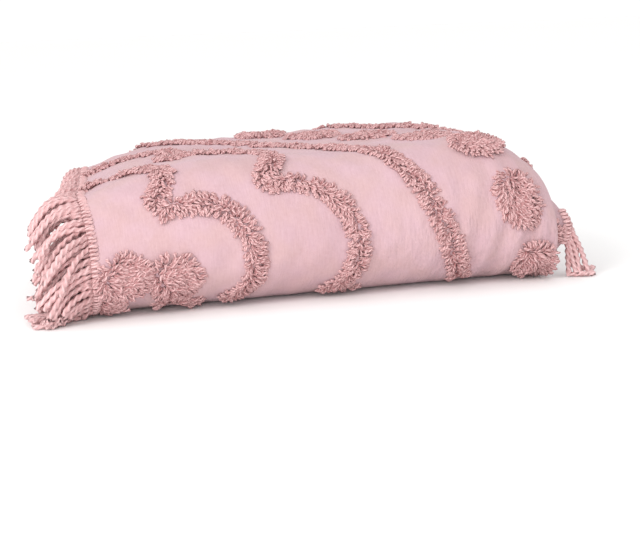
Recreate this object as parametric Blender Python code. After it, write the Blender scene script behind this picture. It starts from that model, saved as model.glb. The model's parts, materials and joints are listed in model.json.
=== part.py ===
"""A tufted cotton bedspread with a twisted fringe, folded into a bundle as it is stored on a shelf.

The cloth is laid out flat at its real size, with its tufted pattern raised in the points of its
right side. It is then folded in thirds across, and the strip that this gives is laid back and
forth in three layers and doubled over, so that one deep round fold faces -Y. Last, the bundle
settles unevenly under its own weight. +X runs along the bundle from the fringed hem to the folded
end, +Z is up, and the origin is the middle of the cloth's underside. Everything is in metres.
"""

import math

import bmesh
import bpy
from mathutils import Vector

# The cloth, and the bundle that it is folded into
CLOTH_THICKNESS = 0.003
LAYER_PITCH = 0.0102  # from one layer of cloth to the next, with the tufts between them
STRIP_PITCH = 3 * LAYER_PITCH  # a strip is three layers of cloth
STRIP_HALF = LAYER_PITCH + CLOTH_THICKNESS / 2  # from the middle of a strip to its outside
BUNDLE_WIDTH = 0.61
BUNDLE_DEPTH = 0.42
NOSE_RADII = (2.5 * STRIP_PITCH, 1.5 * STRIP_PITCH, 0.5 * STRIP_PITCH)  # of the doubled-over folds
BACK_RADIUS = STRIP_PITCH / 2
BUNDLE_HEIGHT = 2 * (NOSE_RADII[0] + STRIP_HALF)
NOSE_Y = NOSE_RADII[0] + STRIP_HALF - BUNDLE_DEPTH / 2  # the line that the folds turn round
FLAT_DEPTH = BUNDLE_DEPTH / 2 - NOSE_Y - BACK_RADIUS - STRIP_HALF  # from that line to the back
SIDE_RADIUS = LAYER_PITCH / 2
FOLDED_END = BUNDLE_WIDTH - SIDE_RADIUS - CLOTH_THICKNESS / 2
FRINGED_END = 0.011  # where the folds behind the fringed hem turn

# Folds across the cloth, a row for each layer of the strip:
# run, radius of the fold at its end, turn in degrees, cells in the fold
ACROSS = (
    (FOLDED_END, SIDE_RADIUS, -180, 4),
    (FOLDED_END - FRINGED_END, SIDE_RADIUS, 180, 4),
    (FOLDED_END - FRINGED_END - 0.026, 0, 0, 0),
)
# Cuts along each of those runs, as shares of the bundle's width
WIDTH_CUTS = (0.21, 0.43, 0.63, 0.79, 0.91)

# Folds along the cloth, a row for each run from front to back or back:
# run, cells in it, radius of the fold at its end, turn in degrees, cells in the fold
ALONG = (
    (FLAT_DEPTH + 0.014, 2, NOSE_RADII[0], -180, 8),
    (FLAT_DEPTH, 4, BACK_RADIUS, -180, 4),
    (FLAT_DEPTH, 3, NOSE_RADII[1], 180, 6),
    (FLAT_DEPTH - 0.009, 3, BACK_RADIUS, 180, 4),
    (FLAT_DEPTH - 0.009, 3, NOSE_RADII[2], -180, 4),
    (FLAT_DEPTH - 0.004, 3, 0, 0, 0),
)

# How the bundle settles: shares of its height or lengths, and how far each reaches
FRINGED_END_SAG, FRINGED_END_REACH = 0.20, 0.20
FOLDED_END_SAG, FOLDED_END_REACH = 0.30, 0.10
FOLDED_END_GROWTH = 0.06
BACK_SAG = 0.01
RIPPLE, RIPPLE_LENGTH = 0.012, 0.37
NOSE_SLUMP = 0.15  # how far the nose leans forward low down and back high up
END_ROUNDING, ROUNDING_REACH = 0.022, 0.15
HEM_LEAN = 0.03
HEM_SKEW, SKEW_REACH = 0.045, 0.30  # how far the fringed hem sits in at the back
FLAP_DRIFT = 0.024  # how far the inner layer slips out at the folded end

# The tufted pattern
PILE_HEIGHT = 0.009
BAND_WIDTH = 0.027
CUSP_CUT = 0.008  # how far beyond the lobes' middles the points between them end
PILE_SHOULDER = 0.009  # over which the pile's edge rises
FINE_STEP = 0.0115  # between the points that carry the raised pattern
# Middles of the pattern: across from the fringed hem, and along the outside from the back hem
MEDALLION = (-0.75, -0.05)
ROSETTE = (0.052, 0.380)
# Scalloped rings round the medallion's middle: lobes, angle of the first, reach, lobe radius
RINGS = (
    (36, 28.9, 0.985, 0.079),
    (40, 26.2, 1.100, 0.085),
    (1, 0, 0, 1.285),
    (1, 0, 0, 1.500),
)
# Round tufts in rings: middle of the ring, how many, angle of the first, reach, tuft radius
DOTS = (
    (MEDALLION, 92, 18.3, 1.398, 0.034),
    (ROSETTE, 5, 42, 0.053, 0.031),
)

# The fringe
HEM_GAP = 0.0005
HEADING_WIDTH = 0.007
STRAND_PITCH = 0.015
STRAND_THICKNESS = 0.0045
STRAND_LENGTH = 0.076
REST_STEP = 0.0062  # between strands that come to rest on one another
FLAP_FRINGE = 0.06  # length of the fringe that shows at the folded end
# Along a strand: share of its length, angle below level in degrees
LEFT_DROOP = ((0.30, 20), (0.65, 40), (1, 50))
RIGHT_DROOP = ((0.20, 42), (0.50, 66), (1, 73))
RIGHT_FAN = 16  # degrees by which the lowest of its strands hangs steeper than the uppermost


class Route:
    """A flat line of straight runs and round turns that cloth follows, right side to its left."""

    def __init__(self, start, heading, rows):
        self.legs = []
        place = Vector(start)
        angle = math.radians(heading)
        distance = 0
        for run, radius, turn in rows:
            self.legs.append((distance, place.copy(), angle, 0))
            place += run * Vector((math.cos(angle), math.sin(angle)))
            distance += run
            if turn:
                bend = math.copysign(1 / radius, turn)
                self.legs.append((distance, place.copy(), angle, bend))
                turned = math.radians(turn)
                place += arc(angle, bend, turned / bend)
                angle += turned
                distance += turned / bend
        self.length = distance

    def at(self, distance, aside=0):
        """The point at a distance along the route, moved aside to its left, and the way it runs."""
        start, place, angle, bend = self.legs[0]
        for leg in self.legs:
            if leg[0] <= distance + 1e-9:
                start, place, angle, bend = leg
        gone = distance - start
        heading = angle + bend * gone
        point = place + arc(angle, bend, gone)
        return point + aside * Vector((-math.sin(heading), math.cos(heading))), heading


def arc(angle, bend, length):
    """From the start to the end of a stretch that sets out at an angle and turns evenly."""
    if bend == 0:
        return length * Vector((math.cos(angle), math.sin(angle)))
    end = angle + bend * length
    return Vector((math.sin(end) - math.sin(angle), math.cos(angle) - math.cos(end))) / bend


ACROSS_ROUTE = Route((0, LAYER_PITCH), 0, [(run, radius, turn) for run, radius, turn, _ in ACROSS])
ALONG_ROUTE = Route(
    (NOSE_Y + ALONG[0][0], STRIP_HALF), 180, [(row[0], row[2], row[3]) for row in ALONG]
)
CLOTH_WIDTH = ACROSS_ROUTE.length
CLOTH_LENGTH = ALONG_ROUTE.length


def smooth(share):
    share = min(max(share, 0), 1)
    return share * share * (3 - 2 * share)


def outside_length(b):
    """Length along the outermost layer, which runs further round the folds than the strip does."""
    _, heading = ALONG_ROUTE.at(b)
    return b - LAYER_PITCH * (heading - math.pi)


def lobe_distance(p, lobes, first, reach, radius):
    """From a point to the nearest of the round lobes in a ring, and below 0 inside it."""
    step = 2 * math.pi / lobes
    angle = math.atan2(p.y, p.x) - math.radians(first)
    nearest = round(angle / step) * step + math.radians(first)
    return (p - reach * Vector((math.cos(nearest), math.sin(nearest)))).length - radius


def pile(a, v):
    """Height of the tufts on the cloth's right side, at a across it and v along its outside."""
    p = Vector((a, v)) - Vector(MEDALLION)
    inside = []
    for row in RINGS:
        beyond = p.length - row[2]
        band = BAND_WIDTH / 2 - abs(min(lobe_distance(p, *row), beyond))
        inside.append(min(band, beyond - CUSP_CUT))
    inside += [-lobe_distance(Vector((a, v)) - Vector(row[0]), *row[1:]) for row in DOTS]
    return PILE_HEIGHT * smooth(max(inside) / PILE_SHOULDER + 0.5)


def fold(a, b, n):
    """The place in the unsettled bundle of a point of the flat cloth, n above its middle."""
    across, heading = ACROSS_ROUTE.at(a, n)
    slip = max(0, a - FOLDED_END) / (CLOTH_WIDTH - FOLDED_END)
    around, _ = ALONG_ROUTE.at(b, across.y)
    return Vector((across.x + 2 * slip * flap_drift(b), around.x, around.y))


def flap_drift(b):
    """How far the folds behind the fringed hem sit from it, which lets the inner layer out."""
    nose = ALONG[0][0] + math.pi * NOSE_RADII[0] / 2
    return FLAP_DRIFT * (1 - smooth(abs(b - nose) / 0.16))


def nearness(distance, reach):
    """1 at an end of the bundle, and 0 where the end's effect stops."""
    return min(max(0, 1 - distance / reach), 1)


def settle(point):
    """Where a point of the neatly folded bundle comes to rest."""
    x, y, z = point
    fringed_end = nearness(x, FRINGED_END_REACH)
    folded_end = nearness(BUNDLE_WIDTH - x, FOLDED_END_REACH)
    rounded = nearness(BUNDLE_WIDTH - x, ROUNDING_REACH)
    skewed = nearness(x, SKEW_REACH) * max(0, y - NOSE_Y) / FLAT_DEPTH
    level = 2 * z / BUNDLE_HEIGHT - 1
    height = 1 - FRINGED_END_SAG * fringed_end**2 - FOLDED_END_SAG * folded_end**1.4
    height += FOLDED_END_GROWTH * smooth((x - 0.33) / 0.3)
    height -= BACK_SAG * smooth((y - NOSE_Y) / FLAT_DEPTH)
    height += RIPPLE * math.sin(2 * math.pi * (x / RIPPLE_LENGTH + y))
    forward = min(0, y - NOSE_Y)
    y += -forward * NOSE_SLUMP * level
    x -= END_ROUNDING * rounded**2 * (0.5 * level * level + max(0, -2 * y / BUNDLE_DEPTH) ** 3)
    z *= height
    x += HEM_LEAN * fringed_end * (BUNDLE_HEIGHT / 2 - z) + HEM_SKEW * skewed
    return Vector((x - BUNDLE_WIDTH / 2, y, z))


def place(a, b, n=0):
    return settle(fold(a, b, n))


def cuts_across():
    """Where the flat cloth is cut into cells, from the fringed hem to the other."""
    lines = [0]
    for layer, (run, radius, turn, cells) in enumerate(ACROSS):
        shares = WIDTH_CUTS if layer % 2 == 0 else [1 - share for share in reversed(WIDTH_CUTS)]
        start = lines[-1]
        lines += [start + share * run for share in shares] + [start + run]
        lines += [start + run + radius * math.pi * (i + 1) / cells for i in range(cells)]
    return lines


def cuts_along():
    lines = [0]
    for run, run_cells, radius, _, fold_cells in ALONG:
        start = lines[-1]
        lines += [start + run * (i + 1) / run_cells for i in range(run_cells)]
        end = lines[-1]
        lines += [end + math.pi * radius * (i + 1) / fold_cells for i in range(fold_cells)]
    return lines


def flat_slab(across, along):
    """A flat sheet of the cloth's thickness, cut into cells along the given lines."""
    bm = bmesh.new()
    rows = [[bm.verts.new((a, b, CLOTH_THICKNESS / 2)) for a in across] for b in along]
    for low, high in zip(rows, rows[1:]):
        for i in range(len(across) - 1):
            bm.faces.new((low[i], low[i + 1], high[i + 1], high[i]))
    made = bmesh.ops.extrude_face_region(bm, geom=bm.faces[:], use_keep_orig=True)
    under = [item for item in made["geom"] if isinstance(item, bmesh.types.BMVert)]
    bmesh.ops.translate(bm, verts=under, vec=(0, 0, -CLOTH_THICKNESS))
    bmesh.ops.recalc_face_normals(bm, faces=bm.faces)
    return bm


def refine(bm, axis, low, high):
    """Cuts the cells of the right side that lie between two corners into fine ones, along an axis."""
    cells = {}
    for face in bm.faces:
        middle = face.calc_center_median()
        is_right_side = middle.z > CLOTH_THICKNESS / 2 - 1e-6
        if is_right_side and low[0] < middle.x < high[0] and low[1] < middle.y < high[1]:
            for edge in face.edges:
                run = edge.verts[1].co - edge.verts[0].co
                if abs(run[axis]) > abs(run[1 - axis]):
                    cuts = max(0, round(run.length / FINE_STEP) - 1)
                    cells.setdefault(cuts, set()).add(edge)
    for cuts, edges in cells.items():
        if cuts:
            bmesh.ops.subdivide_edges(bm, edges=list(edges), cuts=cuts, use_grid_fill=True)


def cotton(name, colour):
    material = bpy.data.materials.new(name)
    material.use_nodes = True
    shader = material.node_tree.nodes["Principled BSDF"]
    shader.inputs["Base Color"].default_value = (*colour, 1)
    shader.inputs["Roughness"].default_value = 0.9
    shader.inputs["Metallic"].default_value = 0
    return material


def add_object(name, bm, material):
    bmesh.ops.recalc_face_normals(bm, faces=bm.faces)
    mesh = bpy.data.meshes.new(name)
    bm.to_mesh(mesh)
    bm.free()
    mesh.materials.append(material)
    made = bpy.data.objects.new(name, mesh)
    bpy.context.collection.objects.link(made)
    return made


def make_cloth(material):
    bm = flat_slab(cuts_across(), cuts_along())
    nose_start = ALONG[0][0]
    outside_end = nose_start + math.pi * NOSE_RADII[0] + ALONG[1][0] + math.pi * BACK_RADIUS
    for axis in (0, 1):
        refine(bm, axis, (0, nose_start), (FOLDED_END, outside_end))
    for vert in bm.verts:
        a, b, n = vert.co
        shows = n > 0 and 0 < a < FOLDED_END - 1e-6 and nose_start < b < outside_end - 1e-6
        raised = pile(a, outside_length(b)) if shows else 0
        raised = min(raised, 0.8 * fold(a, b, n).z)
        vert.co = place(a, b, n + raised)
    return add_object("tufted_cloth", bm, material)


def hem_length(b, m):
    """Length along a hem that lies m aside of the strip's middle, to the right side's left."""
    _, heading = ALONG_ROUTE.at(b)
    return b - m * (heading - math.pi)


def along_hem(length, m):
    """How far along the cloth a hem reaches the given length."""
    low, high = 0, CLOTH_LENGTH
    for _ in range(40):
        middle = (low + high) / 2
        if hem_length(middle, m) < length:
            low = middle
        else:
            high = middle
    return (low + high) / 2


def strand_path(root, outward, droops, floor_height, length_share):
    """The middle of a strand as it droops from its root, or comes to rest at a height."""
    path = [root]
    gone = 0
    for share, angle in droops:
        step = (share - gone) * STRAND_LENGTH
        if share == 1:
            step = (length_share - gone) * STRAND_LENGTH
        gone = share
        droop = math.radians(angle)
        point = path[-1] + step * Vector((outward * math.cos(droop), 0, -math.sin(droop)))
        if point.z < floor_height:
            point.z = floor_height
            run = math.sqrt(max(0, step**2 - (path[-1].z - floor_height) ** 2))
            point.x = path[-1].x + outward * run
        path.append(point)
    return path


def add_strand(bm, ring, outward, droops, rest_level, length_share):
    """Draws a square strand out of four corners of its heading."""
    root = sum((vert.co for vert in ring), Vector()) / 4
    along = ring[1].co - ring[0].co + ring[2].co - ring[3].co
    along = Vector((0, along.y, along.z)).normalized()
    above = Vector((0, -along.z, along.y))
    if above.dot(ring[0].co - ring[3].co) < 0:
        above = -above
    half = STRAND_THICKNESS / 2
    floor_height = rest_level + half * (abs(along.y) + abs(along.z))
    path = strand_path(root, outward, droops, floor_height, length_share)
    last = ring
    for i in range(1, len(path)):
        ahead = path[min(i + 1, len(path) - 1)] - path[i - 1]
        upright = Vector((-ahead.z * outward, 0, ahead.x * outward)).normalized()
        corners = []
        for s, n in ((-1, 1), (1, 1), (1, -1), (-1, -1)):
            aside = half * (s * along + n * above)
            corners.append(bm.verts.new(path[i] + Vector((0, aside.y, 0)) + aside.z * upright))
        bridge(bm, last, corners)
        last = corners
    bm.faces.new(last)


def bridge(bm, ring, other):
    for i in range(4):
        j = (i + 1) % 4
        bm.faces.new((ring[i], ring[j], other[j], other[i]))


def rest_level_at(b):
    """The height at which a strand comes to rest: on the floor, or on the layers of strands below."""
    first_layers = ALONG[0][0] + math.pi * NOSE_RADII[0] + ALONG[1][0]
    upper_layer = cuts_at_run_end(3) + math.pi * BACK_RADIUS / 2
    if b < first_layers:
        return 0
    return REST_STEP if b < upper_layer else 2 * REST_STEP


def cuts_at_run_end(row):
    """How far along the cloth the run of the given row ends."""
    length = sum(run + math.pi * radius for run, _, radius, _, _ in ALONG[:row])
    return length + ALONG[row][0]


def make_fringe(name, hem, m, outward, droops, fan, start, end, material):
    """A heading beside a hem, from one length along it to another, with strands drooping from it."""
    bm = bmesh.new()
    count = round((end - start) / STRAND_PITCH)
    pitch = (end - start) / count
    half = STRAND_THICKNESS / 2
    marks = [start]
    for i in range(count):
        middle = start + (i + 0.5) * pitch
        marks += [middle - half, middle + half]
    marks.append(end)
    edges = (hem + outward * HEM_GAP, hem + outward * (HEM_GAP + HEADING_WIDTH))
    rows = []
    for mark in marks:
        b = along_hem(mark, m)
        inner, outer = [
            [bm.verts.new(place_beside(a, hem, b, n)) for n in (CLOTH_THICKNESS / 2, -CLOTH_THICKNESS / 2)]
            for a in edges
        ]
        rows.append((inner[0], outer[0], outer[1], inner[1]))
    for k in range(len(rows) - 1):
        here, there = rows[k], rows[k + 1]
        has_strand = k % 2 == 1
        for i in range(4):
            if i == 1 and has_strand:
                continue
            j = (i + 1) % 4
            bm.faces.new((here[i], here[j], there[j], there[i]))
        if has_strand:
            ring = [here[1], there[1], there[2], here[2]]
            b = along_hem((marks[k] + marks[k + 1]) / 2, m)
            length_share = 1 + 0.05 * math.sin(2.4 * k)
            steeper = fan * (0.5 - k / len(rows))
            hang = [(share, angle + steeper) for share, angle in droops]
            add_strand(bm, ring, outward, hang, rest_level_at(b), length_share)
    bm.faces.new(rows[0])
    bm.faces.new(rows[-1])
    return add_object(name, bm, material)


def place_beside(a, hem, b, n):
    """A point just off a hem, which keeps the hem's own slip and sits beside it."""
    point = fold(hem, b, n)
    return settle(point + Vector((a - hem, 0, 0)))


def main():
    for old in list(bpy.data.objects):
        bpy.data.objects.remove(old)
    make_cloth(cotton("tufted_cotton", (0.76, 0.45, 0.48)))
    yarn = cotton("fringe_yarn", (0.72, 0.39, 0.42))
    whole_hem = hem_length(CLOTH_LENGTH, LAYER_PITCH)
    make_fringe("fringe_at_left_hem", 0, LAYER_PITCH, -1, LEFT_DROOP, 0, 0, whole_hem, yarn)
    nose = hem_length(ALONG[0][0] + math.pi * NOSE_RADII[0] / 2, -LAYER_PITCH)
    make_fringe(
        "fringe_at_right_hem", CLOTH_WIDTH, -LAYER_PITCH, 1, RIGHT_DROOP, RIGHT_FAN,
        nose - FLAP_FRINGE / 2, nose + FLAP_FRINGE / 2, yarn,
    )


main()
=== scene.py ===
"""Dresses the folded bedspread with woven cloth, tufts of cut yarn and a twisted fringe.

The flat cloth is folded by the same formulas as its solids, at a finer pitch, and every tuft and
cord is a strand of yarn that starts on it. a runs across the flat cloth from its left hem, b along
it, and n stands on its right side. Everything is in metres.
"""

import json
import math

import bmesh
import bpy
import numpy as np
from mathutils import Matrix, Vector

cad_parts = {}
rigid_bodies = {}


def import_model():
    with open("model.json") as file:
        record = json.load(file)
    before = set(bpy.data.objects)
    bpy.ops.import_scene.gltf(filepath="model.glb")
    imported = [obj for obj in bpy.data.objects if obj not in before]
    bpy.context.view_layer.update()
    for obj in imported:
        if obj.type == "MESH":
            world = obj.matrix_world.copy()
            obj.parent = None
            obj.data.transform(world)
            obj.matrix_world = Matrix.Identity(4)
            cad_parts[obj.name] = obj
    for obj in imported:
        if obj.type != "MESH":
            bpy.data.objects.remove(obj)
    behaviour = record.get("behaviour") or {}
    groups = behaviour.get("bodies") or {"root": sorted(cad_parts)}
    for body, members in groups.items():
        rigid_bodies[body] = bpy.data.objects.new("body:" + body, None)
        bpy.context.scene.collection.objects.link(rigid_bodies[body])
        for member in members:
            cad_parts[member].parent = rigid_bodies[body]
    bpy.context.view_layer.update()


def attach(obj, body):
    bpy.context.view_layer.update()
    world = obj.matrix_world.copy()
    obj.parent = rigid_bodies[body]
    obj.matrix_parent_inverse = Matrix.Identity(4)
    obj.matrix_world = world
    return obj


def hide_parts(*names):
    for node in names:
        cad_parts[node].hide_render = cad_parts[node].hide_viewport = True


# The bundle, as its solids fold it
CLOTH_THICKNESS = 0.003
LAYER_PITCH = 0.0102
STRIP_PITCH = 3 * LAYER_PITCH
STRIP_HALF = LAYER_PITCH + CLOTH_THICKNESS / 2
BUNDLE_WIDTH = 0.61
BUNDLE_DEPTH = 0.42
NOSE_RADII = (2.5 * STRIP_PITCH, 1.5 * STRIP_PITCH, 0.5 * STRIP_PITCH)
BACK_RADIUS = STRIP_PITCH / 2
BUNDLE_HEIGHT = 2 * (NOSE_RADII[0] + STRIP_HALF)
NOSE_Y = NOSE_RADII[0] + STRIP_HALF - BUNDLE_DEPTH / 2
FLAT_DEPTH = BUNDLE_DEPTH / 2 - NOSE_Y - BACK_RADIUS - STRIP_HALF
SIDE_RADIUS = LAYER_PITCH / 2
FOLDED_END = BUNDLE_WIDTH - SIDE_RADIUS - CLOTH_THICKNESS / 2
FRINGED_END = 0.011
# run, radius of the fold at its end, turn in degrees, cells in the run, cells in the fold
ACROSS = (
    (FOLDED_END, SIDE_RADIUS, -180, 112, 6),
    (FOLDED_END - FRINGED_END, SIDE_RADIUS, 180, 24, 6),
    (FOLDED_END - FRINGED_END - 0.026, 0, 0, 24, 0),
)
ALONG = (
    (FLAT_DEPTH + 0.014, NOSE_RADII[0], -180, 12, 50),
    (FLAT_DEPTH, BACK_RADIUS, -180, 56, 12),
    (FLAT_DEPTH, NOSE_RADII[1], 180, 12, 16),
    (FLAT_DEPTH - 0.009, BACK_RADIUS, 180, 10, 8),
    (FLAT_DEPTH - 0.009, NOSE_RADII[2], -180, 10, 10),
    (FLAT_DEPTH - 0.004, 0, 0, 10, 0),
)
NOSE_START = ALONG[0][0]
NOSE_MIDDLE = NOSE_START + math.pi * NOSE_RADII[0] / 2

# How the bundle settles: shares of its height or lengths, and how far each reaches
FRINGED_END_SAG, FRINGED_END_REACH = 0.20, 0.20
FOLDED_END_SAG, FOLDED_END_REACH = 0.30, 0.10
FOLDED_END_GROWTH, GROWTH_START, GROWTH_REACH = 0.06, 0.33, 0.3
BACK_SAG = 0.01
RIPPLE, RIPPLE_LENGTH = 0.012, 0.37
NOSE_SLUMP = 0.15  # how far the nose leans forward low down and back high up
END_ROUNDING, ROUNDING_REACH = 0.022, 0.15
HEM_LEAN = 0.03
HEM_SKEW, SKEW_REACH = 0.045, 0.30  # how far the fringed hem sits in at the back
FLAP_DRIFT, DRIFT_REACH = 0.024, 0.16  # how far the inner layer slips out at the folded end

# The tufted pattern on the flat cloth
BAND_WIDTH = 0.027
CUSP_CUT = 0.008  # how far beyond the lobes' middles the points between them end
MEDALLION = (-0.75, -0.05)  # middle of the rings, which lies beyond the hem
ROSETTE = (0.052, 0.380)
# lobes, angle of the first, reach, lobe radius
RINGS = (
    (36, 28.9, 0.985, 0.079),
    (40, 26.2, 1.100, 0.085),
    (1, 0, 0, 1.285),
    (1, 0, 0, 1.500),
)
# middle of the ring, how many, angle of the first, reach, tuft radius
DOTS = (
    (MEDALLION, 92, 18.3, 1.398, 0.034),
    (ROSETTE, 5, 42, 0.053, 0.031),
)

HEADING_WIDTH = 0.007
FLAP_FRINGE = 0.06  # length of hem that shows its fringe where the inner layer slips out

# Tufts of cut yarn. Yarn is given by its radius, and angles are in degrees.
TUFT_SPACING = 0.0032
TUFT_SCATTER = 0.4  # share of the spacing by which roots stray
TUFT_MARGIN = 0.0054  # from the pattern's edge to the outermost roots
TUFT_HEM_GAP = 0.003  # from the hem to the outermost roots
TUFT_FLOOR_GAP = 0.010  # under this height the cloth lies too near the floor for tufts
EDGE_REACH = 0.009  # how far in from the outermost roots tufts lean towards the edge
DOT_SPREAD = 0.0022  # by which round tufts are fuller than a band
DOT_LENGTHENING = 1.15
TUFT_LENGTH = 0.0128
TUFT_LENGTHS = (0.78, 1.12)  # shares of that length
TUFT_YARN = 0.0018
TUFT_RINGS = 7
TUFT_RISE = (40, 70)  # above the cloth, where a tuft starts
TUFT_FALL = (-42, -6)  # and at its tip
TUFT_TWIST = 300
TUFT_PIECES = 4

# Cords of the fringe
CORD_PITCH = 0.0060
CORD_LENGTH = 0.080
CORD_LENGTHS = (0.92, 1.06)
CORD_YARN = 0.0034
CORD_RINGS = 18
CORD_START = (-8, 22)  # below level, where a cord leaves its heading
CORD_END = (44, 66)  # and where it hangs
CORD_TWIST = 1500
SWERVE_LIMIT = 1.1  # radians
FRINGE_FRONT = -0.234  # as far forward as a cord strays

# Loops by which the cords are drawn through the hem, and the woven edge under them
LOOP_REACH = 0.004  # onto the cloth
LOOP_YARN = 0.0022
LOOP_RINGS = 8
LOOP_TWIST = 90
BAND_HALF_THICKNESS = 0.0013
BAND_CELL = 0.004

FLOOR_GAP = 0.0004  # from yarn that lies on the floor to the floor
STEP = 0.001  # over which slopes and directions are measured


def smooth(share):
    share = np.clip(share, 0, 1)
    return share * share * (3 - 2 * share)


class Route:
    """A flat line of straight runs and round turns that the cloth follows."""

    def __init__(self, start, heading, rows):
        place = np.array(start, float)
        angle = math.radians(heading)
        distance = 0
        legs = []
        for run, radius, turn in rows:
            legs.append((distance, *place, angle, 0))
            place = place + run * np.array((math.cos(angle), math.sin(angle)))
            distance += run
            if turn:
                bend = math.copysign(1 / radius, turn)
                legs.append((distance, *place, angle, bend))
                end = angle + math.radians(turn)
                way = (math.sin(end) - math.sin(angle), math.cos(angle) - math.cos(end))
                place = place + np.array(way) / bend
                angle = end
                distance += abs(math.radians(turn)) * radius
        self.length = distance
        self.legs = np.array(legs)

    def heading(self, distance):
        leg = self.leg(distance)
        return leg[..., 3] + leg[..., 4] * (distance - leg[..., 0])

    def leg(self, distance):
        index = np.searchsorted(self.legs[:, 0], distance + 1e-9, side="right") - 1
        return self.legs[np.clip(index, 0, len(self.legs) - 1)]

    def at(self, distance, aside):
        """Two coordinates of the points at these distances, moved aside to the route's left."""
        start, u, v, angle, bend = np.moveaxis(self.leg(distance), -1, 0)
        gone = distance - start
        end = angle + bend * gone
        turning = bend != 0
        curve = np.where(turning, bend, 1)
        u = u + np.where(turning, (np.sin(end) - np.sin(angle)) / curve, gone * np.cos(angle))
        v = v + np.where(turning, (np.cos(angle) - np.cos(end)) / curve, gone * np.sin(angle))
        return u - aside * np.sin(end), v + aside * np.cos(end)


ACROSS_ROUTE = Route((0, LAYER_PITCH), 0, [row[:3] for row in ACROSS])
ALONG_ROUTE = Route((NOSE_Y + NOSE_START, STRIP_HALF), 180, [row[:3] for row in ALONG])
CLOTH_WIDTH = ACROSS_ROUTE.length
CLOTH_LENGTH = ALONG_ROUTE.length


# The one tuft that shows on the flap, at a across the cloth and b along it
FLAP_TUFT = (CLOTH_WIDTH - 0.024, NOSE_MIDDLE - 0.010)
FLAP_DOTS = ((FLAP_TUFT, 1, 0, 0, 0.019),)


def hem_length(b, m):
    """Length along a line of the cloth that lies m aside of the strip's middle."""
    return b - m * (ALONG_ROUTE.heading(b) - math.pi)


def along_at(length, m):
    """How far along the cloth its line at m aside reaches these lengths."""
    marks = 6000  # less than half a millimetre apart
    b = np.linspace(0, CLOTH_LENGTH, marks)
    return np.interp(length, hem_length(b, m), b)


def fold(a, b, n):
    """Where the points of the cloth come to lie once it is folded, before it settles."""
    x, m = ACROSS_ROUTE.at(a, n)
    slip = np.clip((a - FOLDED_END) / (CLOTH_WIDTH - FOLDED_END), 0, None)
    drift = FLAP_DRIFT * (1 - smooth(abs(b - NOSE_MIDDLE) / DRIFT_REACH))
    y, z = ALONG_ROUTE.at(b, m)
    return np.stack((x + 2 * slip * drift, y, z), -1)


def nearness(distance, reach):
    return np.clip(1 - distance / reach, 0, 1)


def settle(points):
    """The folded bundle under its own weight, moved so that its middle is the origin."""
    x, y, z = np.moveaxis(points, -1, 0)
    fringed_end = nearness(x, FRINGED_END_REACH)
    folded_end = nearness(BUNDLE_WIDTH - x, FOLDED_END_REACH)
    rounded = nearness(BUNDLE_WIDTH - x, ROUNDING_REACH)
    skewed = nearness(x, SKEW_REACH) * np.clip(y - NOSE_Y, 0, None) / FLAT_DEPTH
    level = 2 * z / BUNDLE_HEIGHT - 1
    height = 1 - FRINGED_END_SAG * fringed_end**2 - FOLDED_END_SAG * folded_end**1.4
    height = height + FOLDED_END_GROWTH * smooth((x - GROWTH_START) / GROWTH_REACH)
    height = height - BACK_SAG * smooth((y - NOSE_Y) / FLAT_DEPTH)
    height = height + RIPPLE * np.sin(2 * math.pi * (x / RIPPLE_LENGTH + y))
    forward = np.minimum(0, y - NOSE_Y)
    front = np.clip(-2 * y / BUNDLE_DEPTH, 0, None)
    y = y - forward * NOSE_SLUMP * level
    x = x - END_ROUNDING * rounded**2 * (0.5 * level * level + front**3)
    z = z * height
    x = x + HEM_LEAN * fringed_end * (BUNDLE_HEIGHT / 2 - z)
    x = x + HEM_SKEW * skewed
    return np.stack((x - BUNDLE_WIDTH / 2, y, z), -1)


def place(a, b, n, beside=0):
    """Points of the cloth, n above its middle, or beside its hem at the same slip."""
    points = fold(a, b, n)
    points[..., 0] += beside
    return settle(points)


def unit(vectors):
    return vectors / np.linalg.norm(vectors, axis=-1, keepdims=True)


def lobe_distance(u, w, lobes, first, reach, radius):
    """How far outside the nearest of a ring's round lobes points lie."""
    step = 2 * math.pi / lobes
    angle = np.arctan2(w, u) - math.radians(first)
    near = np.round(angle / step) * step + math.radians(first)
    return np.hypot(u - reach * np.cos(near), w - reach * np.sin(near)) - radius


def pile_depth(a, v, rings=RINGS, dots=DOTS):
    """How far inside the tufted pattern points of the right side lie, and below 0 outside it.

    v is the length along the right side, which is longer than b round the outside of a fold.
    """
    u, w = a - MEDALLION[0], v - MEDALLION[1]
    depth = np.full(np.shape(a), -1.0)
    for row in rings:
        beyond = np.hypot(u, w) - row[2]
        away = np.minimum(lobe_distance(u, w, *row), beyond)
        depth = np.maximum(depth, np.minimum(BAND_WIDTH / 2 - abs(away), beyond - CUSP_CUT))
    for middle, *row in dots:
        depth = np.maximum(depth, DOT_SPREAD - lobe_distance(a - middle[0], v - middle[1], *row))
    return depth


def tuft_depth(a, v, on_flap):
    return np.where(on_flap, pile_depth(a, v, (), FLAP_DOTS), pile_depth(a, v))


def softness(a, b):
    """Low folds and dents of the cloth's outside, which fade towards the floor.

    They are waves that bend one another, in millimetres high and radians a metre.
    """
    round_nose = b - NOSE_START
    wide = 1.1 * np.sin(71 * a + 9 * np.sin(13 * b)) * np.sin(57 * b + 5 * np.sin(17 * a))
    fine = 0.8 * np.sin(140 * a + 4 * np.sin(40 * b) + 1.3) * np.cos(52 * b)
    creases = 1.6 * np.sin(165 * a + 3 * np.sin(22 * b))
    low_right = smooth((a - 0.36) / 0.1) * smooth(round_nose / 0.04)
    low_right = low_right * (1 - smooth((round_nose - 0.13) / 0.09))
    outside = (a < FOLDED_END) & (round_nose > 0)
    waves = (wide + fine + creases * low_right) / 1000
    return np.where(outside, waves * smooth(round_nose / 0.05), 0)


# ---- making pieces


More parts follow.
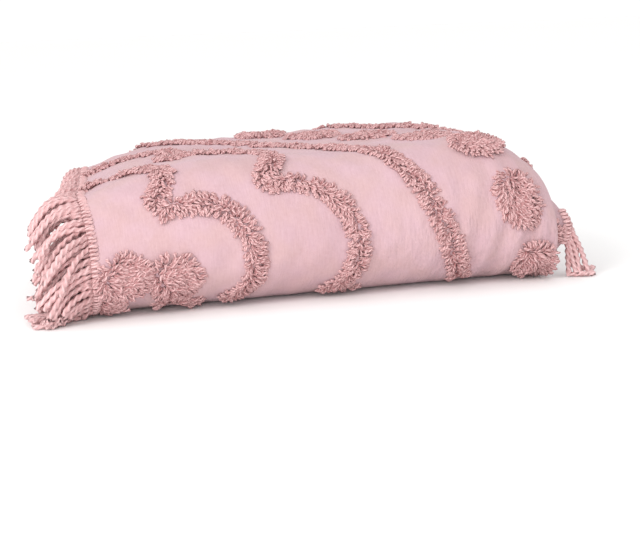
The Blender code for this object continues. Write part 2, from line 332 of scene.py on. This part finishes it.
def add_piece(name, mesh, material):
    mesh.materials.append(material)
    piece = bpy.data.objects.new(name, mesh)
    bpy.context.scene.collection.objects.link(piece)
    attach(piece, "root")
    return piece


def lines(rows):
    """Where the flat cloth is cut into cells along one of its sides."""
    marks = [np.zeros(1)]
    for run, radius, _, run_cells, fold_cells in rows:
        start = marks[-1][-1]
        marks.append(start + run * np.arange(1, run_cells + 1) / run_cells)
        start = marks[-1][-1]
        marks.append(start + math.pi * radius * np.arange(1, fold_cells + 1) / max(fold_cells, 1))
    return np.concatenate(marks)


def flat_slab(name, columns, rows):
    """A closed slab of cells, with each point's column, row and side: 1 above and -1 below."""
    bm = bmesh.new()
    bmesh.ops.create_grid(bm, x_segments=columns, y_segments=rows, size=1)
    made = bmesh.ops.extrude_face_region(bm, geom=bm.faces[:], use_keep_orig=True)
    under = [item for item in made["geom"] if isinstance(item, bmesh.types.BMVert)]
    bmesh.ops.translate(bm, verts=under, vec=(0, 0, -1))
    bmesh.ops.recalc_face_normals(bm, faces=bm.faces)
    mesh = bpy.data.meshes.new(name)
    bm.to_mesh(mesh)
    bm.free()
    flat = np.empty(3 * len(mesh.vertices), np.float32)
    mesh.vertices.foreach_get("co", flat)
    x, y, z = flat.reshape(-1, 3).astype(float).T
    column = np.rint((x + 1) / 2 * columns).astype(int)
    row = np.rint((y + 1) / 2 * rows).astype(int)
    return mesh, column, row, np.where(z > -0.5, 1, -1)


def set_points(mesh, points):
    mesh.vertices.foreach_set("co", points.astype(np.float32).ravel())


def label_points(mesh, label, values):
    layer = mesh.attributes.new(label, "FLOAT", "POINT")
    layer.data.foreach_set("value", values.astype(np.float32))


def make_cloth(material):
    across, along = lines(ACROSS), lines(ALONG)
    mesh, column, row, side = flat_slab("bedspread_cloth", len(across) - 1, len(along) - 1)
    a, b = across[column], along[row]
    set_points(mesh, place(a, b, side * CLOTH_THICKNESS / 2 + softness(a, b)))
    corners = np.empty(len(mesh.loops), np.int32)
    mesh.loops.foreach_get("vertex_index", corners)
    weave = mesh.uv_layers.new(name="weave")
    weave.data.foreach_set("uv", np.stack((a, b), -1)[corners].astype(np.float32).ravel())
    mesh.shade_smooth()
    return add_piece("bedspread_cloth", mesh, material)


def yarn_sleeve(rings, sides=4):
    """A closed sleeve of unit radius with a ring at each whole height."""
    bm = bmesh.new()
    bmesh.ops.create_circle(bm, cap_ends=True, segments=sides, radius=1)
    bm.faces.ensure_lookup_table()
    top = bm.faces[0]
    for i in range(rings - 1):
        below = top
        made = bmesh.ops.extrude_face_region(bm, geom=[below], use_keep_orig=True)["geom"]
        top = next(item for item in made if isinstance(item, bmesh.types.BMFace))
        bmesh.ops.translate(bm, verts=top.verts[:], vec=(0, 0, 1))
        if i:
            bmesh.ops.delete(bm, geom=[below], context="FACES_ONLY")
    bmesh.ops.recalc_face_normals(bm, faces=bm.faces)
    bm.verts.index_update()
    points = np.array([vert.co for vert in bm.verts])
    faces = np.array([[vert.index for vert in face.verts] for face in bm.faces])
    bm.free()
    return points, faces


def make_yarn(name, paths, upright, radius, taper, flatness, twist, tint, material):
    """One mesh of twisted yarn: a sleeve along each path, wider one way than the other.

    The material reads along from root to tip, the strand's tint, and the way round it.
    """
    count, rings = paths.shape[:2]
    points, faces = yarn_sleeve(rings)
    ring = np.rint(points[:, 2]).astype(int)
    around = np.arctan2(points[:, 1], points[:, 0])
    ahead = unit(np.gradient(paths, axis=1))
    side = unit(np.cross(ahead, upright[:, None, :]))
    above = np.cross(side, ahead)
    angle = around + twist * ring / (rings - 1) + tint[:, None] * 40  # so that strands differ
    reach = radius * taper[ring] * np.where(abs(np.cos(around)) > 0.5, 1 + flatness, 1 - flatness)
    out = np.cos(angle)[..., None] * side[:, ring] + np.sin(angle)[..., None] * above[:, ring]
    placed = paths[:, ring] + reach[None, :, None] * out
    placed[..., 2] = np.maximum(placed[..., 2], FLOOR_GAP)
    offsets = len(points) * np.arange(count)[:, None, None]
    turned = faces[None, :, ::-1] + offsets  # as side and above run clockwise round the path
    mesh = bpy.data.meshes.new(name)
    mesh.from_pydata(placed.reshape(-1, 3), [], turned.reshape(-1, faces.shape[1]))
    label_points(mesh, "along", np.tile(ring / (rings - 1), count))
    label_points(mesh, "tint", np.repeat(tint, len(points)))
    label_points(mesh, "round_x", np.cos(angle).ravel())
    label_points(mesh, "round_y", np.sin(angle).ravel())
    mesh.shade_smooth()
    return add_piece(name, mesh, material)


def tuft_roots(rng):
    """Where tufts stand on the flat cloth: a across it, v along its right side, b along it."""
    round_flap_tuft = (FLAP_TUFT[1] - 0.03, FLAP_TUFT[1] + 0.03)
    stretches = (
        ((0.004, FOLDED_END), (NOSE_START, 1.02)),
        ((FLAP_TUFT[0] - 0.03, CLOTH_WIDTH - 0.002), round_flap_tuft),
    )
    grids = [
        np.meshgrid(np.arange(*across, TUFT_SPACING), np.arange(*along, TUFT_SPACING))
        for across, along in stretches
    ]
    a, v = [np.concatenate([grid[i].ravel() for grid in grids]) for i in (0, 1)]
    a = a + rng.uniform(-TUFT_SCATTER, TUFT_SCATTER, a.shape) * TUFT_SPACING
    v = v + rng.uniform(-TUFT_SCATTER, TUFT_SCATTER, v.shape) * TUFT_SPACING
    back_fold = NOSE_START + math.pi * NOSE_RADII[0] + FLAT_DEPTH
    last = hem_length(np.array(back_fold + math.pi * BACK_RADIUS * 0.9), LAYER_PITCH)
    on_flap = a > FOLDED_END
    kept = (tuft_depth(a, v, on_flap) > TUFT_MARGIN) & (a > TUFT_HEM_GAP) & (v < last)
    a, v, on_flap = a[kept], v[kept], on_flap[kept]
    b = np.where(on_flap, v, along_at(v, LAYER_PITCH))
    root = place(a, b, CLOTH_THICKNESS / 2 + softness(a, b))
    kept = root[:, 2] > TUFT_FLOOR_GAP
    return a[kept], v[kept], b[kept], on_flap[kept], root[kept]


def make_tufts(material, rng):
    """Short strands that rise out of the cloth and curl over, those at an edge outwards."""
    a, v, b, on_flap, root = tuft_roots(rng)
    face = CLOTH_THICKNESS / 2
    outward = unit(place(a, b, face + STEP) - place(a, b, face))
    way_a = unit(place(a + STEP, b, face) - place(a - STEP, b, face))
    way_b = unit(place(a, b + STEP, face) - place(a, b - STEP, face))
    slope_a = tuft_depth(a - STEP, v, on_flap) - tuft_depth(a + STEP, v, on_flap)
    slope_v = tuft_depth(a, v - STEP, on_flap) - tuft_depth(a, v + STEP, on_flap)
    slope = (slope_a[:, None] * way_a + slope_v[:, None] * way_b) / (2 * STEP)
    near_edge = 1 - np.clip((tuft_depth(a, v, on_flap) - TUFT_MARGIN) / EDGE_REACH, 0, 1)
    in_dot = pile_depth(a, v, ()) > 0

    # Tufts lean outwards at an edge, as they were combed elsewhere, a little down, and each astray
    lean = (0.1 + 1.1 * near_edge)[:, None] * slope
    comb = 2.2 * np.sin(31 * a + 17 * v) + 1.7 * np.sin(23 * v - 41 * a + 1.9)
    combed = (0.75 * (1 - 0.65 * near_edge))[:, None] * np.stack((np.cos(comb), np.sin(comb)), -1)
    stray = (combed + rng.normal(0, 0.28, (len(a), 2))) * np.where(in_dot, 0.6, 1)[:, None]
    lean += stray[:, :1] * way_a + stray[:, 1:] * way_b + np.array((0.1, 0, -0.45))
    lean -= (lean * outward).sum(-1, keepdims=True) * outward
    lean = unit(lean)
    aside = np.cross(outward, lean)

    share = np.linspace(0, 1, TUFT_RINGS)
    length = TUFT_LENGTH * rng.uniform(*TUFT_LENGTHS, len(a)) * (1 - 0.12 * near_edge)
    length = length * np.where(in_dot, DOT_LENGTHENING, 1)
    rise = np.radians(rng.uniform(*TUFT_RISE, len(a)) + 18 * (1 - near_edge) - 12 * in_dot)
    fall = np.radians(rng.uniform(*TUFT_FALL, len(a)))
    wave = rng.uniform(0, 2 * math.pi, len(a))
    paths = np.repeat(root[:, None], TUFT_RINGS, axis=1)
    for i in range(1, TUFT_RINGS):
        angle = (rise + (fall - rise) * share[i] ** 0.8)[:, None]
        sway = 0.5 * np.cos(4.5 * share[i] + wave)[:, None]
        way = np.cos(angle) * lean + np.sin(angle) * outward + sway * aside
        paths[:, i] = paths[:, i - 1] + (length / (TUFT_RINGS - 1))[:, None] * unit(way)
    paths[:, 0] -= 0.001 * outward  # into the cloth
    taper = np.interp(share, (0, 0.2, 0.85, 1), (0.8, 1, 1.05, 0.85))
    for k, part in enumerate(np.array_split(np.argsort(a), TUFT_PIECES)):
        make_yarn(
            f"tufts_{k + 1}", paths[part], outward[part] + 0.3 * aside[part], TUFT_YARN, taper,
            0.22, math.radians(TUFT_TWIST), rng.uniform(0, 1, len(part)), material,
        )


def drooping(root, outward, rng, low, steep):
    """Paths of fringe cords that leave their heading and droop, or come to lie on a height.

    Cords at the back, and all of a steep fringe, hang closer to the bundle. Those on the crown
    rise a little first, and those low down in front veer off forwards.
    """
    count = len(root)
    behind = smooth((root[:, 1] + 0.17) / 0.2)
    crown = smooth((root[:, 2] - 0.095) / 0.045)
    low_down = np.clip(1 - root[:, 2] / 0.05, 0, 1) * np.clip((root[:, 1] + 0.2) / 0.06, 0.2, 1)
    beneath = 14 * (np.arange(count) % 2)  # every other cord hangs steeper, under its neighbours
    falling = np.maximum(60 * steep, 34 * behind * (1 - crown))
    start = rng.uniform(*CORD_START, count) + beneath * (1 - crown) + falling - 10 * crown
    end = rng.uniform(*CORD_END, count) + 22 * np.maximum(steep, behind)
    start, end = np.radians(start), np.radians(end)
    veer = rng.normal(0, 0.20 + 0.25 * steep, count)
    veer -= (0.7 + 0.4 * behind) * low_down + 0.45 * behind * (outward < 0)
    curl = rng.normal(0, 0.35, count)
    step = CORD_LENGTH * rng.uniform(*CORD_LENGTHS, count) / (CORD_RINGS - 1)
    step = step * (1 - 0.30 * behind) * (1 - 0.14 * steep)
    paths = np.repeat(root[:, None], CORD_RINGS, axis=1)
    for i in range(1, CORD_RINGS):
        share = i / (CORD_RINGS - 1)
        last = paths[:, i - 1]
        droop = start + (end - start) * smooth(1.25 * share)
        swerve = np.clip(veer + curl * (share - 0.4), -SWERVE_LIMIT, SWERVE_LIMIT)
        flat = np.stack((outward * np.cos(swerve), np.sin(swerve), 0 * droop), -1)
        point = last + step[:, None] * np.cos(droop)[:, None] * flat
        point[:, 2] -= step * np.sin(droop)
        lying = last + step[:, None] * flat
        lying[:, 2] = np.maximum(low, last[:, 2] - 0.35 * step)
        paths[:, i] = np.where((point[:, 2] < low)[:, None], lying, point)
        paths[:, i, 1] = np.maximum(paths[:, i, 1], FRINGE_FRONT)
    return paths


def make_fringe(name, hem, m, outward, start, end, material, heading, rng):
    """The cords of a fringe with the loops of its heading, along one stretch of a hem."""
    count = int((end - start) / CORD_PITCH)
    length = start + (np.arange(count) + 0.5) * (end - start) / count
    b = along_at(length + rng.normal(0, 0.0007, count), m)
    a = np.full(count, float(hem))
    above = unit(place(a, b, CLOTH_THICKNESS / 2) - place(a, b, -CLOTH_THICKNESS / 2))
    root = place(a, b, rng.uniform(-0.001, 0.0015, count), outward * (HEADING_WIDTH - 0.002))
    # How many others lie under the end of each: at most one outside, and up to three further in
    inner = NOSE_START + math.pi * NOSE_RADII[0] + FLAT_DEPTH
    layers = np.where(b < inner, rng.integers(0, 2, count), rng.integers(1, 4, count))
    low = CORD_YARN * (1.15 + 1.5 * layers)
    paths = drooping(root, outward, rng, low, outward > 0)
    taper = np.interp(np.linspace(0, 1, CORD_RINGS), (0, 0.1, 0.9, 1), (0.75, 1, 1.05, 0.85))
    upright = np.tile(np.array((0.2, 0.3, 1.0)), (count, 1))
    cords = make_yarn(
        name + "_cords", paths, upright, CORD_YARN, taper, 0.24, math.radians(CORD_TWIST),
        rng.uniform(0, 1, count), material,
    )
    # Each cord is drawn through the hem, and its loop lies on the cloth
    across = np.linspace(-HEADING_WIDTH, LOOP_REACH, LOOP_RINGS)
    rise = LOOP_YARN * np.sin(np.linspace(0.3, math.pi, LOOP_RINGS)) + 0.0012
    loop = np.stack(
        [place(a, b, np.full(count, n), -outward * reach) for reach, n in zip(across, rise)], 1
    )
    taper = np.interp(np.linspace(0, 1, LOOP_RINGS), (0, 0.2, 0.8, 1), (0.8, 1, 1, 0.5))
    loops = make_yarn(
        name + "_heading", loop, above, LOOP_YARN, taper, 0.15, math.radians(LOOP_TWIST),
        rng.uniform(0, 1, count), heading,
    )
    return cords, loops


def make_heading_band(name, hem, m, outward, start, end, material):
    """The narrow woven edge that the cords are drawn through."""
    columns, rows = 3, max(12, int((end - start) / BAND_CELL)) - 1
    mesh, column, row, side = flat_slab(name, columns, rows)
    b = along_at(np.linspace(start, end, rows + 1), m)
    beside = outward * (0.0003 + (HEADING_WIDTH - 0.001) * column / columns)
    a = np.full(len(row), float(hem))
    set_points(mesh, place(a, b[row], side * BAND_HALF_THICKNESS, beside))
    for label in ("along", "tint"):
        label_points(mesh, label, np.full(len(row), 0.4))
    if outward < 0:
        mesh.flip_normals()
    mesh.shade_smooth()
    return add_piece(name, mesh, material)


# ---- finishes


class Shade:
    """A value among a material's nodes, which Python's own operators work on."""

    def __init__(self, finish, socket):
        self.finish = finish
        self.socket = socket

    def math(self, operation, *values):
        inputs = {i: value for i, value in enumerate(values)}
        return self.finish.add("ShaderNodeMath", {"operation": operation}, inputs)

    def __add__(self, other):
        return self.math("ADD", self, other)

    __radd__ = __add__

    def __mul__(self, other):
        return self.math("MULTIPLY", self, other)

    __rmul__ = __mul__

    def __sub__(self, other):
        return self.math("SUBTRACT", self, other)

    def __rsub__(self, other):
        return self.math("SUBTRACT", other, self)

    def sine(self):
        return self.math("SINE", self)

    def arctan2(self, other):
        return self.math("ARCTAN2", self, other)

    def clamped(self):
        inputs = {0: self, 1: 0.0, 2: 1.0}
        return self.finish.add("ShaderNodeClamp", {}, inputs)


class Finish:
    """A material under construction."""

    def __init__(self, name, roughness, sheen):
        self.material = bpy.data.materials.new(name)
        self.material.use_nodes = True
        self.tree = self.material.node_tree
        self.shader = self.tree.nodes["Principled BSDF"]
        self.shader.inputs["Roughness"].default_value = roughness
        self.shader.inputs["Sheen Weight"].default_value = sheen
        self.shader.inputs["Sheen Roughness"].default_value = 0.5
        self.shader.inputs["Specular IOR Level"].default_value = 0.15

    def add(self, kind, settings, inputs, output=0):
        node = self.tree.nodes.new(kind)
        for name, value in settings.items():
            setattr(node, name, value)
        for name, value in inputs.items():
            if isinstance(value, Shade):
                self.tree.links.new(value.socket, node.inputs[name])
            else:
                node.inputs[name].default_value = value
        return Shade(self, node.outputs[output])

    def set(self, name, value):
        self.tree.links.new(value.socket, self.shader.inputs[name])

    def attribute(self, name):
        return self.add("ShaderNodeAttribute", {"attribute_name": name}, {}, "Fac")

    def object_place(self):
        return self.add("ShaderNodeTexCoord", {}, {}, "Object")

    def uv(self, name):
        return self.add("ShaderNodeUVMap", {"uv_map": name}, {})

    def stretched(self, vector, scale):
        return self.add("ShaderNodeMapping", {}, {"Vector": vector, "Scale": scale})

    def noise(self, vector, scale, detail=2):
        inputs = {"Vector": vector, "Scale": scale, "Detail": detail}
        return self.add("ShaderNodeTexNoise", {}, inputs, "Fac")

    def mix(self, factor, first, second):
        settings = {"data_type": "RGBA", "clamp_factor": True}
        return self.add("ShaderNodeMix", settings, {0: factor, 6: first, 7: second}, 2)

    def bump(self, height, distance, strength=1.0):
        inputs = {"Height": height, "Distance": distance, "Strength": strength}
        self.set("Normal", self.add("ShaderNodeBump", {}, inputs))


def woven_cotton():
    """Cloth of fine threads with slubs, in two pinks that drift into each other."""
    finish = Finish("woven_cotton", 0.92, 0.12)
    weave = finish.uv("weave")
    slubs = finish.noise(finish.stretched(weave, (700, 60, 1)), 1.0, 2)
    crepe = finish.noise(weave, 260, 3)
    patches = finish.noise(weave, 9, 2)
    clouds = finish.noise(weave, 22, 3)
    shade = 0.40 * patches + 0.35 * slubs + 0.25 * crepe
    tone = (shade - 0.35) * 3.0
    rose = finish.mix(tone, (0.520, 0.330, 0.340, 1), (0.605, 0.408, 0.420, 1))
    mauve = finish.mix(tone, (0.520, 0.335, 0.365, 1), (0.612, 0.415, 0.455, 1))
    finish.set("Base Color", finish.mix((clouds - 0.4) * 5.0, rose, mauve))
    across = finish.add("ShaderNodeSeparateXYZ", {}, {"Vector": weave}, 0)
    along = finish.add("ShaderNodeSeparateXYZ", {}, {"Vector": weave}, 1)
    threads = (across * 3900).sine() * (along * 3900).sine()
    wrinkles = finish.noise(finish.stretched(weave, (130, 60, 1)), 1.0, 3)
    low_right = (across * 5 - 1.2).clamped() * (6.25 - along * 12.5).clamped()
    height = 0.25 * threads + 0.9 * crepe + 0.8 * slubs + 13.0 * wrinkles * low_right
    finish.bump(height, 0.0005, 0.7)
    return finish.material


def yarn(name, painted_shade_colour, light, turns):
    """Two-ply yarn whose plies turn this often along it, with painted shade at its root and
    between the plies, and painted highlight towards its tip and on the plies.
    """
    finish = Finish(name, 0.95, 0.0)
    along = finish.attribute("along")
    tint = finish.attribute("tint")
    fuzz = finish.noise(finish.object_place(), 900, 2)
    around = finish.attribute("round_y").arctan2(finish.attribute("round_x"))
    ply = (2 * around - 2 * math.pi * turns * along).sine()
    # painted shade at the root that fades towards the tip, painted shade between the plies and
    # painted highlight on them; tint and fuzz are the yarn's own tone
    lit = 0.22 + 0.4 * along + 0.3 * tint + 0.25 * (fuzz - 0.5) + 0.28 * ply
    finish.set("Base Color", finish.mix(lit, painted_shade_colour, light))
    finish.bump(0.6 * fuzz + ply, 0.0007, 0.8)
    return finish.material


# ---- floor, light and camera


def make_floor():
    half_width = 15
    mesh = bpy.data.meshes.new("floor")
    bm = bmesh.new()
    bmesh.ops.create_grid(bm, x_segments=1, y_segments=1, size=half_width)
    bm.to_mesh(mesh)
    bm.free()
    floor = bpy.data.objects.new("floor", mesh)
    bpy.context.scene.collection.objects.link(floor)
    finish = Finish("pale_floor", 0.9, 0.0)
    finish.shader.inputs["Base Color"].default_value = (0.93, 0.925, 0.92, 1)
    mesh.materials.append(finish.material)


def add_light(name, size, power, place_at, target):
    """A round lamp of this width in metres and power in watts."""
    data = bpy.data.lights.new(name, "AREA")
    data.shape = "DISK"
    data.size = size
    data.energy = power
    lamp = bpy.data.objects.new(name, data)
    lamp.location = place_at
    way = Vector(target) - Vector(place_at)
    lamp.rotation_euler = way.to_track_quat("-Z", "Y").to_euler()
    bpy.context.scene.collection.objects.link(lamp)


def light_scene():
    """A bright, even studio, a soft key light from the left and a low one from in front."""
    world = bpy.data.worlds.new("studio")
    world.use_nodes = True
    background = world.node_tree.nodes["Background"]
    background.inputs["Color"].default_value = (1, 1, 1, 1)
    background.inputs["Strength"].default_value = 1.08
    bpy.context.scene.world = world
    add_light("key", 1.2, 34, (-2.2, -1.6, 1.5), (0, 0, 0.05))
    add_light("fill", 1.6, 17, (-0.9, -2.3, 0.3), (-0.1, 0, 0.05))


def show_plainly():
    """Colours as they are lit, so that a white floor is white."""
    bpy.context.scene.view_settings.view_transform = "Standard"


def add_camera():
    """The photograph's view: its angles, its distance, and its focal length in pixels."""
    azimuth, elevation, roll = (math.radians(angle) for angle in (-16, 11, -2))
    distance, focal_pixels, picture_width = 2.0, 1456, 640
    target = Vector((0.0252, 0, -0.0123))
    ahead = Vector(
        (-math.sin(azimuth) * math.cos(elevation), math.cos(azimuth) * math.cos(elevation),
         -math.sin(elevation))
    )
    data = bpy.data.cameras.new("camera")
    data.sensor_fit = "HORIZONTAL"
    data.sensor_width = 36
    data.lens = data.sensor_width * focal_pixels / picture_width
    data.clip_end = 100
    camera = bpy.data.objects.new("camera", data)
    turned = ahead.to_track_quat("-Z", "Y").to_matrix().to_4x4() @ Matrix.Rotation(roll, 4, "Z")
    camera.matrix_world = Matrix.Translation(target - distance * ahead) @ turned
    bpy.context.scene.collection.objects.link(camera)
    bpy.context.scene.camera = camera


def main():
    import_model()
    tuft_draws, fringe_draws = np.random.default_rng(7), np.random.default_rng(11)
    cloth = make_cloth(woven_cotton())
    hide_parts("tufted_cloth")
    # each yarn's first colour is its painted shade, at the root and between the plies, and the
    # second its lit colour
    pile = yarn("tuft_yarn", (0.310, 0.108, 0.110, 1), (0.810, 0.520, 0.520, 1), 2)
    make_tufts(pile, tuft_draws)
    # painted shade colours first, then lit colours, for the fringe cords and their heading
    cord = yarn("fringe_cord", (0.540, 0.295, 0.295, 1), (0.810, 0.540, 0.540, 1), 8)
    heading = yarn("heading_yarn", (0.600, 0.345, 0.345, 1), (0.830, 0.555, 0.555, 1), 1)
    whole_hem = float(hem_length(np.array(CLOTH_LENGTH), LAYER_PITCH))
    left, left_loops = make_fringe(
        "left_fringe", 0, LAYER_PITCH, -1, 0, whole_hem, cord, heading, fringe_draws
    )
    left_band = make_heading_band("left_fringe_band", 0, LAYER_PITCH, -1, 0, whole_hem, heading)
    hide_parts("fringe_at_left_hem")
    middle = float(hem_length(np.array(NOSE_MIDDLE), -LAYER_PITCH))
    right_from, right_to = middle - FLAP_FRINGE / 2, middle + FLAP_FRINGE / 2
    right, right_loops = make_fringe(
        "right_fringe", CLOTH_WIDTH, -LAYER_PITCH, 1, right_from, right_to, cord, heading,
        fringe_draws,
    )
    right_band = make_heading_band(
        "right_fringe_band", CLOTH_WIDTH, -LAYER_PITCH, 1, right_from, right_to, heading
    )
    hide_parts("fringe_at_right_hem")
    pieces = [left, left_loops, left_band, right, right_loops, right_band]
    pieces += [bpy.data.objects[f"tufts_{k + 1}"] for k in range(TUFT_PIECES)]
    make_floor()
    light_scene()
    add_camera()
    show_plainly()


main()
